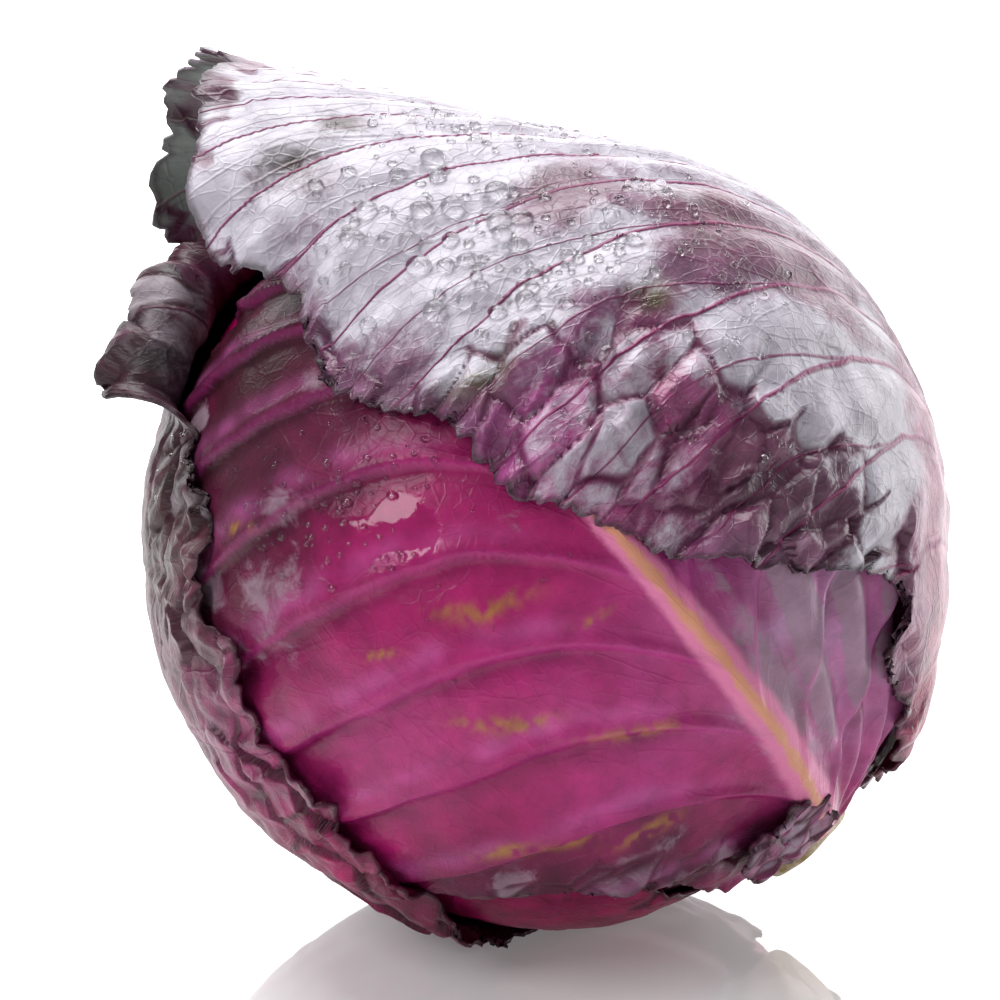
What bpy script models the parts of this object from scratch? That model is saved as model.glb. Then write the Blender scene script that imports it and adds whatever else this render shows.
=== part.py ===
"""A head of red cabbage lying on its side, built leaf by leaf.

The head is a ball of packed leaves (the heart) with a cut stalk. Six wrapper leaves grow from the
stalk and lie over the ball in four layers, like the skins of an onion. The outermost one lifts off
the ball as a pointed hood, and the one on the left rolls its margin outwards. A torn scrap of an
older leaf is left beside the stalk.

Metres, +Z up, the viewer stands at -Y. The origin is on the table under the middle of the head.
"""
import math

import bmesh
import bpy
import numpy as np
from mathutils import Vector

# Driving dimensions, in metres and degrees.
HEAD_RADIUS = 0.083          # over the outermost layer of leaves
LAYER_PITCH = 0.002          # from one layer of leaves to the next
LEAF_THICKNESS = 0.001
LAYERS = 4
HEART_RADIUS = HEAD_RADIUS - LAYERS * LAYER_PITCH
REST_LAYER = 3               # the layer of leaves that lies on the table
REST_DEPTH = 0.0022          # how much the table flattens the head

STALK_FALL = 48.0            # degrees that the stalk points below the horizon
STALK_TURN = -8.0            # degrees from +X towards the viewer
STALK_RADIUS = 0.013
STALK_NECK = 0.0122          # radius at the cut face
STALK_END = 0.0858           # from the middle of the head to the cut face
STALK_EDGE = 0.0012          # bevel round the cut face
STALK_GAP = 0.0006           # kept between the stalk and the heart

HEAD_HEIGHT = HEART_RADIUS + REST_LAYER * LAYER_PITCH - REST_DEPTH   # middle of the head above the table

VIEWER_RISE = 15.0           # longitude 0 of the head faces a viewer this many degrees above the table

HOOD_RISE = 13.4             # degrees that the ridge of the hood climbs to the left
HOOD_TAPER = 0.43            # how fast the hood narrows along its ridge

LUMP = (44.0, 46.0)          # longitude and distance from the stalk of a swelling low at the front
LUMP_HEIGHT = 0.004
LUMP_WIDTH = 20.0            # degrees


def unit(v):
    return np.asarray(v, float) / np.linalg.norm(v)


def stalk_direction():
    fall, turn = math.radians(STALK_FALL), math.radians(STALK_TURN)
    return np.array([math.cos(fall) * math.cos(turn), math.cos(fall) * math.sin(turn), -math.sin(fall)])


STALK = stalk_direction()
VIEWER = np.array([0.0, -math.cos(math.radians(VIEWER_RISE)), math.sin(math.radians(VIEWER_RISE))])
VIEWER_UP = np.array([0.0, math.sin(math.radians(VIEWER_RISE)), math.cos(math.radians(VIEWER_RISE))])
MERIDIAN = unit(VIEWER - VIEWER.dot(STALK) * STALK)      # towards longitude 0
CROSSWISE = np.cross(STALK, MERIDIAN)                    # towards longitude 90


def leaf_axes(longitude, distance):
    """The middle of a leaf as a direction, with its own right and its own up, away from the stalk."""
    lon, far = math.radians(longitude), math.radians(distance)
    outward = math.cos(lon) * MERIDIAN + math.sin(lon) * CROSSWISE
    middle = math.cos(far) * STALK + math.sin(far) * outward
    up = -math.sin(far) * STALK + math.cos(far) * outward
    return middle, np.cross(up, middle), up


def heart_surface(directions):
    """Distance from the middle of the head to the heart, with its lump and the flat spot that it rests on."""
    away = np.degrees(np.arccos(np.clip(directions @ leaf_axes(*LUMP)[0], -1.0, 1.0)))
    lumpy = HEART_RADIUS + LUMP_HEIGHT * np.exp(-(away / LUMP_WIDTH) ** 2)
    down = np.maximum(-directions[:, 2], 1e-6)
    table = HEAD_HEIGHT / down - REST_LAYER * LAYER_PITCH
    return np.minimum(lumpy, table)


def smooth_step(value, low, high):
    t = np.clip((value - low) / (high - low), 0.0, 1.0)
    return t * t * (3 - 2 * t)


def closed_curve(points, angles):
    """Catmull-Rom through (angle, value) points given round a full turn, read at the angles, in degrees."""
    points = sorted(points)
    keys = np.array([p[0] for p in points], float)
    values = np.array([p[1] for p in points], float)
    count = len(points)
    angles = (np.asarray(angles) - keys[0]) % 360.0 + keys[0]
    i = np.clip(np.searchsorted(keys, angles, side="right") - 1, 0, count - 1)
    following = np.append(keys[1:], keys[0] + 360.0)
    t = (angles - keys[i]) / (following[i] - keys[i])
    a, b, c, d = (values[(i + k) % count] for k in (-1, 0, 1, 2))
    return 0.5 * (2 * b + (c - a) * t + (2 * a - 5 * b + 4 * c - d) * t**2 + (3 * b - a - 3 * c + d) * t**3)


# A leaf's outline is its reach from its middle, in degrees of the ball, at angles that start at its own
# right and turn towards its tip: 90 is the tip and -90 the base at the stalk.
LEAVES = {
    "under_leaf": {
        "longitude": 100, "distance": 80, "layer": 1, "cells": 16,
        "outline": [(-90, 69), (-60, 66), (-30, 72), (0, 78), (35, 84), (65, 96), (90, 104),
                    (115, 96), (145, 80), (180, 74), (210, 66), (240, 63)],
    },
    "side_leaf": {
        "longitude": -78, "distance": 80, "layer": 1, "cells": 16,
        "outline": [(-90, 69), (-60, 64), (-30, 72), (0, 76), (45, 74), (90, 72), (135, 74),
                    (180, 76), (210, 72), (240, 64)],
    },
    "back_leaf": {
        "longitude": 172, "distance": 82, "layer": 2, "cells": 18,
        "outline": [(-90, 71), (-62, 66), (-30, 70), (0, 74), (45, 76), (90, 82), (135, 78),
                    (180, 76), (210, 72), (242, 66)],
    },
    "front_leaf": {
        "longitude": -8, "distance": 82, "layer": 2, "cells": 18,
        "outline": [(-90, 71), (-76, 60), (-55, 60), (-20, 70), (20, 76), (60, 76), (97, 76), (112, 80),
                    (135, 79), (165, 78), (200, 68), (218, 52), (232, 50), (243, 55), (255, 66)],
    },
    "left_leaf": {
        "longitude": 135, "distance": 90, "layer": 3, "cells": 26,
        "outline": [(-90, 79), (-80, 70), (-66, 64), (-52, 64), (-39, 70), (-18, 80), (-2, 84), (22, 86),
                    (48, 88), (60, 94), (72, 98), (84, 94), (97, 80), (130, 70), (180, 66), (215, 66), (245, 70)],
        "roll": {"start": 64, "end": 82, "fade": 13, "radius": 0.008, "length": 0.024},
    },
    "top_leaf": {
        "longitude": -100, "distance": 92, "layer": 4, "cells": 26,
        "outline": [(-90, 81), (-60, 70), (-20, 62), (20, 66), (42, 80), (61, 92), (70, 85), (79, 80),
                    (92, 80), (102, 87), (111, 97), (124, 98), (138, 102), (154, 98), (170, 95), (190, 85),
                    (205, 74), (222, 66), (235, 74), (252, 79)],
        "hood": True,
    },
}


def hood_lift(directions):
    """How far the top leaf stands off the ball, where it runs on straight as a cone that leans on the ball.

    The ridge of the cone is a tangent of the ball. Its flanks narrow with the distance along the ridge.
    """
    climb = math.radians(HOOD_RISE)
    ridge = np.array([-math.cos(climb), 0.0, 0.0]) + math.sin(climb) * VIEWER_UP
    crest = np.array([math.sin(climb), 0.0, 0.0]) + math.cos(climb) * VIEWER_UP
    along = np.maximum(directions @ ridge, 0.0)
    upward = directions @ crest
    square = 1.0 - (directions @ ridge) ** 2 - 2 * HOOD_TAPER * along * upward
    slope = 2 * HEAD_RADIUS * HOOD_TAPER * along
    root = np.sqrt(np.maximum(slope**2 + 4 * square * HEAD_RADIUS**2, 0.0))
    cone = 2 * HEAD_RADIUS**2 / (slope + root)
    return np.where(along > 0, np.maximum(cone - HEAD_RADIUS, 0.0), 0.0)


def leaf_points(leaf, right, forward):
    """Points on a leaf's outer face, from places on a unit disc whose +Y runs to the tip."""
    middle, own_right, own_up = leaf_axes(leaf["longitude"], leaf["distance"])
    turn = np.arctan2(forward, right)
    share = np.hypot(right, forward)
    edge = np.radians(closed_curve(leaf["outline"], np.degrees(turn))) * HEAD_RADIUS
    along = share * edge
    lift = np.full(len(along), leaf["layer"] * LAYER_PITCH)
    if "roll" in leaf:
        roll = leaf["roll"]
        angle = np.degrees(turn) % 360.0
        here = smooth_step(angle, roll["start"] - roll["fade"], roll["start"])
        here = here * (1 - smooth_step(angle, roll["end"], roll["end"] + roll["fade"]))
        start = edge - roll["length"] * here
        bend = np.maximum(along - start, 0.0) / roll["radius"]
        rolled = here > 0
        along = np.where(rolled, np.minimum(along, start) + roll["radius"] * np.sin(bend), along)
        lift = lift + roll["radius"] * (1 - np.cos(bend)) * rolled
    reach = along / HEAD_RADIUS
    outwards = np.cos(turn)[:, None] * own_right + np.sin(turn)[:, None] * own_up
    directions = np.cos(reach)[:, None] * middle + np.sin(reach)[:, None] * outwards
    if leaf.get("hood"):
        lift = lift + hood_lift(directions)
    points = directions * (heart_surface(directions) + lift)[:, None]
    points[:, 2] = np.maximum(points[:, 2], -HEAD_HEIGHT)
    return points


def disc_from_square(mesh):
    """The corners of a square grid brought in, so that its rim is a circle."""
    flat = np.array([v.co[:2] for v in mesh.verts])
    s, t = flat[:, 0], flat[:, 1]
    return s * np.sqrt(1 - t * t / 2), t * np.sqrt(1 - s * s / 2)


def material(name, colour, roughness):
    """A leaf or stalk finish. The colour is linear."""
    made = bpy.data.materials.new(name)
    made.use_nodes = True
    shader = made.node_tree.nodes["Principled BSDF"]
    shader.inputs["Base Color"].default_value = (*colour, 1.0)
    shader.inputs["Roughness"].default_value = roughness
    made.diffuse_color = (*colour, 1.0)
    return made


def add_object(name, mesh, collection, finish):
    data = bpy.data.meshes.new(name)
    mesh.to_mesh(data)
    mesh.free()
    made = bpy.data.objects.new(name, data)
    data.materials.append(finish)
    data.shade_smooth()
    collection.objects.link(made)
    return made


def add_leaf(name, leaf, collection, finish):
    """A leaf is a thin shell: its outer face moved onto the head, thickened inwards."""
    mesh = bmesh.new()
    bmesh.ops.create_grid(mesh, x_segments=leaf["cells"], y_segments=leaf["cells"], size=1.0)
    for vertex, point in zip(mesh.verts, leaf_points(leaf, *disc_from_square(mesh))):
        vertex.co = point
    made = add_object(name, mesh, collection, finish)
    wall = made.modifiers.new("thickness", "SOLIDIFY")
    wall.thickness = LEAF_THICKNESS
    wall.offset = -1.0
    return made


def add_heart(collection, finish):
    mesh = bmesh.new()
    bmesh.ops.create_uvsphere(mesh, u_segments=28, v_segments=18, radius=1.0)
    directions = np.array([v.co.normalized() for v in mesh.verts])
    for vertex, direction, radius in zip(mesh.verts, directions, heart_surface(directions)):
        vertex.co = direction * radius
    return add_object("heart", mesh, collection, finish)


def stalk_frame(made):
    """Turns an object modelled along +Z so that it lies along the stalk."""
    made.rotation_mode = "QUATERNION"
    made.rotation_quaternion = Vector(STALK).to_track_quat("Z", "Y")


def add_stalk(collection, finish):
    """A turned stub, a little wider where it grows out of the heart, cut square."""
    foot = HEART_RADIUS + STALK_GAP
    profile = [(STALK_NECK - STALK_EDGE, STALK_END), (STALK_NECK - STALK_EDGE / 3, STALK_END - STALK_EDGE / 3),
               (STALK_NECK, STALK_END - STALK_EDGE), (STALK_RADIUS, foot + STALK_EDGE), (STALK_RADIUS, foot)]
    mesh = bmesh.new()
    corners = [mesh.verts.new((0.0, 0.0, STALK_END))]
    corners += [mesh.verts.new((radius, 0.0, height)) for radius, height in profile]
    corners.append(mesh.verts.new((0.0, 0.0, foot)))
    for a, b in zip(corners, corners[1:]):
        mesh.edges.new((a, b))
    made = add_object("stalk", mesh, collection, finish)
    turned = made.modifiers.new("turned", "SCREW")
    turned.steps = turned.render_steps = 28
    turned.use_merge_vertices = True
    turned.merge_threshold = 0.00001
    stalk_frame(made)
    return made


BROKEN_LEAF = {
    "longitude": 4, "distance": 30, "layer": 3.6, "cells": 9,
    "outline": [(-90, 10), (-60, 8.5), (-20, 7.5), (0, 8), (30, 8), (60, 8.5), (90, 7.5), (120, 9), (150, 7.5),
                (180, 8), (240, 8.5)],
}


def add_broken_leaf(collection, finish):
    """What is left of an older leaf: a torn scrap beside the stalk."""
    return add_leaf("broken_leaf", BROKEN_LEAF, collection, finish)


def lowest_and_highest(objects):
    graph = bpy.context.evaluated_depsgraph_get()
    low, high = np.full(3, 1e9), np.full(3, -1e9)
    for made in objects:
        shown = made.evaluated_get(graph)
        data = shown.to_mesh()
        place = np.array(shown.matrix_world)
        points = np.array([v.co for v in data.vertices]) @ place[:3, :3].T + place[:3, 3]
        shown.to_mesh_clear()
        low, high = np.minimum(low, points.min(0)), np.maximum(high, points.max(0))
    return low, high


def main():
    for old in list(bpy.data.objects):
        bpy.data.objects.remove(old)
    collection = bpy.data.collections.new("cabbage_head")
    bpy.context.scene.collection.children.link(collection)

    finishes = {
        "heart": material("pale purple heart", (0.30, 0.09, 0.17), 0.5),
        "stalk": material("cut stalk", (0.62, 0.47, 0.33), 0.6),
        "inner": material("smooth magenta leaf", (0.24, 0.03, 0.11), 0.4),
        "front": material("magenta wrapper leaf", (0.29, 0.04, 0.15), 0.35),
        "outer": material("bloomed outer leaf", (0.42, 0.36, 0.43), 0.5),
        "scrap": material("weathered leaf scrap", (0.22, 0.13, 0.19), 0.6),
    }
    kinds = {"under_leaf": "inner", "side_leaf": "inner", "back_leaf": "front", "front_leaf": "front",
             "left_leaf": "outer", "top_leaf": "outer"}

    made = [add_heart(collection, finishes["heart"]), add_stalk(collection, finishes["stalk"])]
    for name, leaf in LEAVES.items():
        made.append(add_leaf(name, leaf, collection, finishes[kinds[name]]))
    made.append(add_broken_leaf(collection, finishes["scrap"]))

    bpy.context.view_layer.update()
    low, high = lowest_and_highest(made)
    shift = (-(low[0] + high[0]) / 2, -(low[1] + high[1]) / 2, -low[2])
    for piece in made:
        piece.location = shift


main()
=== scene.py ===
import math
import random

import bmesh
import bpy
import numpy as np
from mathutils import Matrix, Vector, noise


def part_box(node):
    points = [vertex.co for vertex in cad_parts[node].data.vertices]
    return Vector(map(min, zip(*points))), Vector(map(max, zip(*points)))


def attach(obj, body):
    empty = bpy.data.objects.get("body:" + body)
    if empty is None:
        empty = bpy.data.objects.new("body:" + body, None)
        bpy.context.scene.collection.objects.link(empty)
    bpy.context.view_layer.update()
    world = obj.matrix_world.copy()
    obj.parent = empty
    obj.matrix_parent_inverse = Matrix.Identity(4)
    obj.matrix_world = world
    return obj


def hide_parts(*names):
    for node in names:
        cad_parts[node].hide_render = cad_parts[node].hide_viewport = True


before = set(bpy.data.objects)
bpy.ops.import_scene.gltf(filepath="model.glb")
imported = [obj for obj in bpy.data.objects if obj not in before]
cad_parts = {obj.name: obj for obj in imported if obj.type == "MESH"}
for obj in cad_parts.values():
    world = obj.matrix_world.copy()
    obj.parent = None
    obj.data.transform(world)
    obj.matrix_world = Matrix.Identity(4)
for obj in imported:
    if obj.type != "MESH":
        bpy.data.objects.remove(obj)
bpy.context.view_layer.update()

mm = 0.001
noise.seed_set(7)       # without it the own numbers of the puckered panels change with the clock

# the head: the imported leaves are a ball, and the wrapper leaves lie on it in layers
head = {
    "radius": 83 * mm,           # over the outermost layer of leaves
    "heart": 75 * mm,
    "pitch": 2.0 * mm,           # from one layer to the next
    "restLayer": 3,              # the layer that lies on the table
    "stalkFall": 48,             # degrees the stalk points below the horizon
    "stalkTurn": -8,
    "viewRise": 15,              # degrees the camera looks down
    # swellings: longitude, distance from the stalk, height and width in degrees
    "lumps": [(44, 46, 4 * mm, 20), (-48, 27, 3 * mm, 17)],
    "unevenness": 0.7 * mm,
    "hoodRise": 13.4,            # degrees the ridge of the hood climbs
    "hoodTaper": 0.43,
}

heartLow, heartHigh = (np.array(corner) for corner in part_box("heart"))
centre = np.array([(heartLow[0] + heartHigh[0]) / 2, (heartLow[1] + heartHigh[1]) / 2, heartHigh[2] - head["heart"]])
print("head centre", centre.round(4))


def unit(v):
    return np.asarray(v, float) / np.linalg.norm(v)


def direction(turn, rise):
    turn, rise = math.radians(turn), math.radians(rise)
    return np.array([math.sin(turn) * math.cos(rise), -math.cos(turn) * math.cos(rise), math.sin(rise)])


stalkDir = direction(90 + head["stalkTurn"], -head["stalkFall"])
viewDir = direction(0, head["viewRise"])
viewUp = direction(180, 90 - head["viewRise"])
meridian = unit(viewDir - viewDir.dot(stalkDir) * stalkDir)     # longitude 0 faces the camera
crosswise = np.cross(stalkDir, meridian)


def leafAxes(longitude, distance):
    # middle of a leaf on the ball, with its own right and its own up, away from the stalk
    lon, far = math.radians(longitude), math.radians(distance)
    outward = math.cos(lon) * meridian + math.sin(lon) * crosswise
    middle = math.cos(far) * stalkDir + math.sin(far) * outward
    up = -math.sin(far) * stalkDir + math.cos(far) * outward
    return middle, np.cross(up, middle), up


def bumps(points, size, seed=0.0):
    # smooth noise from -1 to 1, read at points in metres
    shift = Vector((seed * 7.31, seed * 3.17, seed * 1.73))
    return np.array([noise.noise(Vector(p) / size + shift) for p in points])


def panels(points, size, seed=0.0):
    # puckered panels: 0 on their borders to 1 in their middles, metres to the border,
    # place from the panel's middle, and three numbers from -1 to 1 that are the panel's own
    shift = Vector((seed * 5.1, seed * 2.3, seed * 9.7))
    between, offset, own = np.empty(len(points)), np.empty((len(points), 2)), np.empty((len(points), 3))
    for i, p in enumerate(points):
        place = Vector(p) / size + shift
        near, middles = noise.voronoi(place)
        between[i] = near[1] - near[0]
        offset[i] = (place - middles[0]).xy
        own[i] = noise.noise_vector(middles[0] * 3.7)
    dome = np.clip(between * 1.6, 0, 1) ** 0.7
    return dome, between * size / 2, offset * size, np.clip(own * 1.6, -1, 1)


def smoothStep(value, low, high):
    t = np.clip((value - low) / (high - low), 0.0, 1.0)
    return t * t * (3 - 2 * t)


def closedCurve(points, angles):
    # Catmull-Rom through (angle, value) points round a full turn
    points = sorted(points)
    keys = np.array([p[0] for p in points], float)
    values = np.array([p[1] for p in points], float)
    count = len(points)
    angles = (np.asarray(angles) - keys[0]) % 360.0 + keys[0]
    i = np.clip(np.searchsorted(keys, angles, side="right") - 1, 0, count - 1)
    following = np.append(keys[1:], keys[0] + 360.0)
    t = (angles - keys[i]) / (following[i] - keys[i])
    a, b, c, d = (values[(i + k) % count] for k in (-1, 0, 1, 2))
    return 0.5 * (2 * b + (c - a) * t + (2 * a - 5 * b + 4 * c - d) * t**2 + (3 * b - a - 3 * c + d) * t**3)


def headSurface(directions):
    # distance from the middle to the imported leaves, with the flat spot on the table
    lumpy = head["heart"] + head["unevenness"] * bumps(directions, 0.55)
    for lon, far, height, width in head["lumps"]:
        away = np.degrees(np.arccos(np.clip(directions @ leafAxes(lon, far)[0], -1, 1)))
        lumpy = lumpy + height * np.exp(-(away / width) ** 2)
    down = np.maximum(-directions[:, 2], 1e-6)
    return np.minimum(lumpy, centre[2] / down - head["restLayer"] * head["pitch"])


def hoodLift(directions):
    # the outermost leaf runs on straight past the ball, as a cone that leans on it
    climb = math.radians(head["hoodRise"])
    ridge = np.array([-math.cos(climb), 0, 0]) + math.sin(climb) * viewUp
    crest = np.array([math.sin(climb), 0, 0]) + math.cos(climb) * viewUp
    along = np.maximum(directions @ ridge, 0.0)
    upward = directions @ crest
    square = 1.0 - (directions @ ridge) ** 2 - 2 * head["hoodTaper"] * along * upward
    slope = 2 * head["radius"] * head["hoodTaper"] * along
    root = np.sqrt(np.maximum(slope**2 + 4 * square * head["radius"] ** 2, 0.0))
    gap = 2 * head["radius"] ** 2 / (slope + root) - head["radius"]
    soft = 1.2 * mm                                     # rounds the line where the hood leaves the ball
    lift = 0.5 * (gap + np.sqrt(gap**2 + soft**2)) - 0.5 * soft
    return np.where(along > 0, np.maximum(lift, 0.0), 0.0)


def srgb(code):
    code = code.lstrip("#")
    parts = [int(code[i:i + 2], 16) / 255 for i in (0, 2, 4)]
    return [c / 12.92 if c <= 0.04045 else ((c + 0.055) / 1.055) ** 2.4 for c in parts]


# In every leaf: outline is (angle, reach) in degrees of the ball, with 90 at the tip and -90 at the base.
# Side veins leave the midrib every "gap", climb by "rise" within about "run", and spread out past "fan".
# patches are x, y and radius in mm on the leaf, then a strength and a colour. bloom is wax, bare is where it is
# rubbed off, wet is a film of water and crumpleAt is puckered: the same, without the colour.
# streaks are yellow scars: x, y and size in mm, then their slant in degrees.
# finer makes the faces of the grid smaller towards one side, crowd the side veins closer towards the base.

underLeaf = {
    "longitude": 100, "distance": 80, "layer": 1, "cells": 120, "thickness": 0.9 * mm,
    "outline": [(-90, 69), (-60, 66), (-30, 72), (0, 78), (35, 84), (65, 96), (90, 104), (115, 96), (145, 80),
                (180, 74), (210, 66), (240, 63)],
    "ragged": 0.8 * mm, "ruffle": 0.5 * mm, "midrib": 0.4 * mm, "ridge": 0.3 * mm, "crumple": 0.3 * mm,
    "gap": 21 * mm, "start": 4 * mm, "rise": 42 * mm, "run": 22 * mm, "fan": 0,
    "ground": "#900c4e",
    "patches": [(60, -45, 40, 0.5, "#6c0c3c"), (0, 0, 60, 0.4, "#94205c")],
    "bloom": [(0, 60, 50, 0.03)],
}

sideLeaf = {
    "longitude": -78, "distance": 80, "layer": 1, "cells": 120, "thickness": 0.9 * mm,
    "outline": [(-90, 69), (-60, 64), (-30, 72), (0, 76), (45, 74), (90, 72), (135, 74), (180, 76), (210, 72),
                (240, 64)],
    "ragged": 0.8 * mm, "ruffle": 0.5 * mm, "midrib": 1.6 * mm, "ridge": 0.3 * mm, "crumple": 0.3 * mm,
    "gap": 21 * mm, "start": 9 * mm, "rise": 42 * mm, "run": 22 * mm, "fan": 0,
    "ground": "#86204a",
    "patches": [(0, -80, 60, 0.9, "#780a28")],
    "bloom": [(0, 60, 50, 0.05)],
}

backLeaf = {
    "longitude": 172, "distance": 82, "layer": 2, "cells": 130, "thickness": 0.9 * mm,
    "outline": [(-90, 71), (-62, 66), (-30, 70), (0, 74), (45, 76), (90, 82), (135, 78), (180, 76), (210, 72),
                (242, 66)],
    "ragged": 1.2 * mm, "ruffle": 0.8 * mm, "midrib": 1.6 * mm, "ridge": 0.8 * mm, "crumple": 0.8 * mm,
    "terrace": 1.0 * mm, "puff": 0.4 * mm,
    "gap": 22 * mm, "start": 3 * mm, "rise": 42 * mm, "run": 22 * mm, "fan": 0,
    "ground": "#8c2860",
    "patches": [(0, 60, 50, 0.6, "#5c2438"), (0, -60, 50, 0.6, "#98286a")],
    "bloom": [(0, 60, 40, 0.6), (-50, 0, 30, 0.3)],
}

frontLeaf = {
    "longitude": -8, "distance": 82, "layer": 2, "cells": 212, "thickness": 0.9 * mm,
    "finer": (-0.15, -0.05),
    "outline": [(-90, 71), (-76, 60), (-55, 60), (-20, 70), (20, 76), (60, 76), (90, 84), (112, 89), (135, 86),
                (165, 80), (200, 68), (215, 53), (219, 50), (226, 51), (234, 49), (243, 54), (255, 66)],
    "ragged": 1.4 * mm, "lobe": 7 * mm, "ruffle": 0.8 * mm, "midrib": 3.2 * mm, "ridge": 1.3 * mm,
    "crumple": 1.2 * mm, "terrace": 1.9 * mm, "puff": 0.8 * mm, "lean": -0.15, "panel": 7 * mm,
    # this leaf gets a painted highlight beyond each side vein and painted shade before the next, at full strength
    "stretch": (0.6, 1.0), "zone": 8 * mm, "ridgeWidth": 1.7 * mm, "pleats": (30, 1.2 * mm), "paintedVeinShading": 1.0,
    "crumpleAt": [(-62, -46, 14, 0.5), (-44, -54, 12, 1.0), (-28, -66, 11, 1.0), (-14, -76, 8, 0.6)],
    "gap": 23.7 * mm, "start": 1 * mm, "rise": 42 * mm, "run": 22 * mm, "fan": 0,
    "ground": "#a01f66",
    "patches": [
        (-36, 84, 30, 0.97, "#48202c"), (-62, 76, 30, 0.95, "#54243a"), (-16, 74, 26, 0.7, "#642040"),
        (-78, 90, 28, 0.95, "#4a2030"), (-40, 112, 34, 0.97, "#421c28"), (-10, 112, 20, 0.9, "#4c2230"),
        (-90, 66, 16, 0.8, "#7c5068"),
        (-30, -30, 18, 0.6, "#b8408c"), (-60, 4, 18, 0.6, "#b84890"), (-34, -4, 16, 0.5, "#b03c80"),
        (-80, 56, 24, 0.8, "#5a2236"), (-76, 22, 26, 0.6, "#8a2a5c"), (-24, 34, 26, 0.4, "#a8306c"),
        (-40, 0, 30, 0.4, "#ac2c70"), (-14, -14, 18, 0.5, "#ac4484"), (-60, -20, 22, 0.5, "#941a5c"),
        (-74, -42, 20, 0.85, "#561a38"), (-42, -56, 17, 0.9, "#451a2c"), (-22, -70, 15, 0.85, "#45192c"),
        (-62, -46, 14, 0.8, "#501c34"),
        (24, -30, 24, 0.9, "#b48cae"), (26, -60, 26, 0.7, "#b47aa6"), (14, 0, 18, 0.7, "#9c4c86"),
    ],
    "streaks": [(-27, 17, 4, -25), (-33, 22, 3, -30), (-43, -1, 4, -35), (-37, -6, 3, -20), (-26, -18, 4, -30),
                (-20, -22, 4, -25), (-52, 24, 2, -20), (-62, 66, 3, -25), (-14, 3, 2, -20),
                (-50, -34, 4, -20), (-34, -44, 4, -20), (-60, -28, 3, -20)],
    "bloom": [(-56, 104, 7, 0.6), (-48, 64, 8, 0.36), (-26, 78, 7, 0.36), (-62, 50, 12, 0.36), (-76, 42, 12, 0.3),
              (-86, 66, 13, 0.7), (-14, 60, 18, 0.25), (22, -36, 26, 0.72), (20, -6, 16, 0.5), (-42, -54, 14, 0.38),
              (-24, -68, 12, 0.38), (-64, -40, 12, 0.35), (-10, 30, 10, 0.2)],
    "wet": [(-41, 47, 10, 1.0), (-30, 42, 8, 0.9), (-50, 58, 8, 0.9)],
}

leftLeaf = {
    "longitude": 135, "distance": 90, "layer": 3, "cells": 205, "thickness": 0.9 * mm,
    "finer": (0.28, 0.0),
    "outline": [(-90, 79), (-80, 70), (-66, 64), (-52, 64), (-39, 70), (-28, 77), (-18, 80), (-8, 80), (-2, 85),
                (9, 80), (20, 88), (29, 83), (38, 90), (50, 88), (60, 94), (72, 98), (84, 94), (97, 80),
                (130, 70), (180, 66), (215, 66), (245, 70)],
    "roll": {"start": 61, "end": 80, "fade": 11, "radius": 6.8 * mm, "length": 22 * mm},
    "ragged": 2.4 * mm, "lobe": 11 * mm, "ruffle": 2.4 * mm, "midrib": 1.2 * mm, "ridge": 0.7 * mm,
    "crumple": 2.6 * mm, "terrace": 0.5 * mm, "puff": 1.2 * mm, "lean": 0.4, "panel": 12 * mm,
    "stretch": (1.0, 0.6), "zone": 34 * mm,
    "crumpleAt": [(88, 76, 26, 0.9), (112, 12, 28, 0.8), (100, -42, 30, 0.6)],
    "gap": 20 * mm, "start": 6 * mm, "rise": 42 * mm, "run": 24 * mm, "fan": 60 * mm,
    "ground": "#6c2a4c",
    "patches": [
        (80, 78, 36, 0.98, "#422c2c"), (48, 122, 34, 0.97, "#352a30"), (104, 48, 24, 0.9, "#643848"),
        (114, 14, 28, 0.95, "#8a2460"), (106, -40, 42, 0.98, "#8c0650"), (40, -60, 50, 0.7, "#6a1a42"),
        (-40, 0, 60, 0.5, "#70506a"),
    ],
    "bloom": [(84, 76, 24, 0.27), (48, 122, 30, 0.42), (100, 56, 16, 0.22), (112, 20, 16, 0.04), (0, 20, 60, 0.5),
              (-40, -30, 60, 0.5)],
}

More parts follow.
